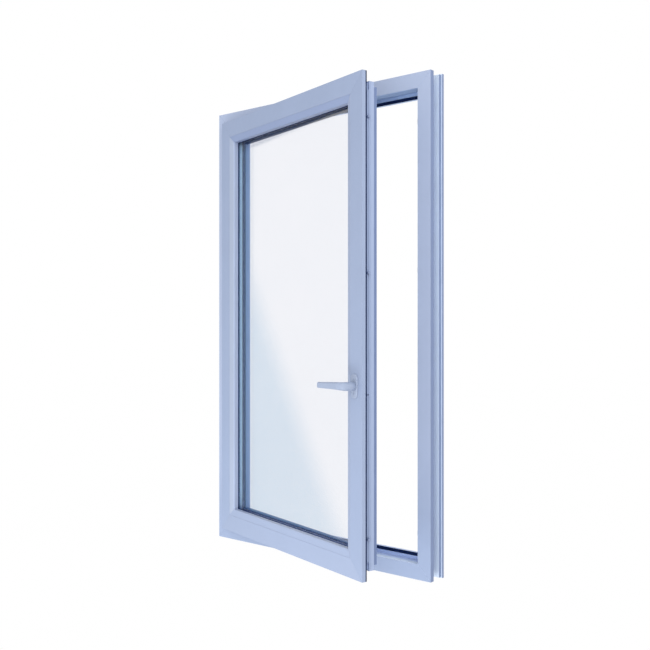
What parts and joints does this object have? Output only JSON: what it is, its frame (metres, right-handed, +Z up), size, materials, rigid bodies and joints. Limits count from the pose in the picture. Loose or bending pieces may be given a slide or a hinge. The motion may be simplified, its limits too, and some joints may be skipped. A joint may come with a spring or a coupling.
{
  "type": "casement window",
  "caption": "Inward-opening side-hung casement window: slim frame, flanged sash with sloping beads and sealed glass, lever handle driving locking rods, barrel hinges.",
  "frame": {"origin": "underside of the sill at mid-width, 8 mm behind the room-side face, on the strip that the frame stands on", "axes": "+X to the lock side seen from the room, +Y from the room to the outside, +Z up"},
  "size_m": [0.9, 0.3472, 1.5],
  "materials": {
    "shell": "pale blue powder coat, satin",
    "thermal": "coated polyamide, matte",
    "bead": "pale blue powder coat, satin",
    "seal": "dark extruded rubber",
    "glass": "clear float glass",
    "spacer": "mill finish, finely perforated",
    "block": "moulded",
    "handle": "pale blue coat, satin",
    "steel": "zinc plated"
  },
  "bodies": {
    "frame": {"frame_sill_inner_shell": "shell", "frame_sill_thermal_bar": "thermal", "frame_sill_outer_shell": "shell", "frame_lock_jamb_inner_shell": "shell", "frame_lock_jamb_thermal_bar": "thermal", "frame_lock_jamb_outer_shell": "shell", "frame_head_inner_shell": "shell", "frame_head_thermal_bar": "thermal", "frame_head_outer_shell": "shell", "frame_hinge_jamb_inner_shell": "shell", "frame_hinge_jamb_thermal_bar": "thermal", "frame_hinge_jamb_outer_shell": "shell", "central_seal": "seal", "top_lock_keep": "steel", "middle_lock_keep": "steel", "bottom_lock_keep": "steel", "lower_hinge_frame_leaf": "handle", "lower_hinge_pin": "steel", "upper_hinge_frame_leaf": "handle", "upper_hinge_pin": "steel"},
    "sash": {"sash_bottom_rail_inner_shell": "shell", "sash_bottom_rail_thermal_bar": "thermal", "sash_bottom_rail_outer_shell": "shell", "sash_lock_stile_inner_shell": "shell", "sash_lock_stile_thermal_bar": "thermal", "sash_lock_stile_outer_shell": "shell", "sash_top_rail_inner_shell": "shell", "sash_top_rail_thermal_bar": "thermal", "sash_top_rail_outer_shell": "shell", "sash_hinge_stile_inner_shell": "shell", "sash_hinge_stile_thermal_bar": "thermal", "sash_hinge_stile_outer_shell": "shell", "glazing_bead_bottom": "bead", "glazing_bead_lock": "bead", "glazing_bead_top": "bead", "glazing_bead_hinge": "bead", "stop_seal": "seal", "inner_glazing_seal": "seal", "outer_glazing_seal": "seal", "inner_pane": "glass", "outer_pane": "glass", "spacer_bar": "spacer", "setting_block_hinge_side": "block", "setting_block_lock_side": "block", "lower_hinge_sash_leaf": "handle", "upper_hinge_sash_leaf": "handle", "gearbox_case": "steel", "rosette_base": "steel", "rosette_cover": "handle", "handle_upper_screw": "steel", "handle_lower_screw": "steel"},
    "handle": {"handle_lever": "handle", "handle_spindle": "steel", "drive_pinion": "steel"},
    "upper_rod": {"upper_drive_rod": "steel", "middle_locking_cam": "steel", "top_locking_cam": "steel"},
    "lower_rod": {"lower_drive_rod": "steel", "bottom_locking_cam": "steel"}
  },
  "joints": [
    {"name": "sash_turn", "type": "hinge", "parent": "frame", "child": "sash", "pos_m": [-0.421, -0.0145, 0.75], "axis": [0, 0, -1], "range_deg": [-15.2, 74.8]},
    {"name": "handle_turn", "type": "hinge", "parent": "sash", "child": "handle", "pos_m": [0.3466, -0.23445, 0.581], "axis": [0.2622, 0.965, 0], "range_deg": [-90, 0]},
    {"name": "upper_rod_slide", "type": "slide", "parent": "sash", "child": "upper_rod", "axis": [0, 0, 1], "range_m": [0, 0.016]},
    {"name": "lower_rod_slide", "type": "slide", "parent": "sash", "child": "lower_rod", "axis": [0, 0, 1], "range_m": [-0.016, 0]}
  ],
  "couplings": [
    {"joint": "upper_rod_slide", "follows": "handle_turn", "m_per_rad": -0.010185},
    {"joint": "lower_rod_slide", "follows": "handle_turn", "m_per_rad": 0.010185}
  ]
}
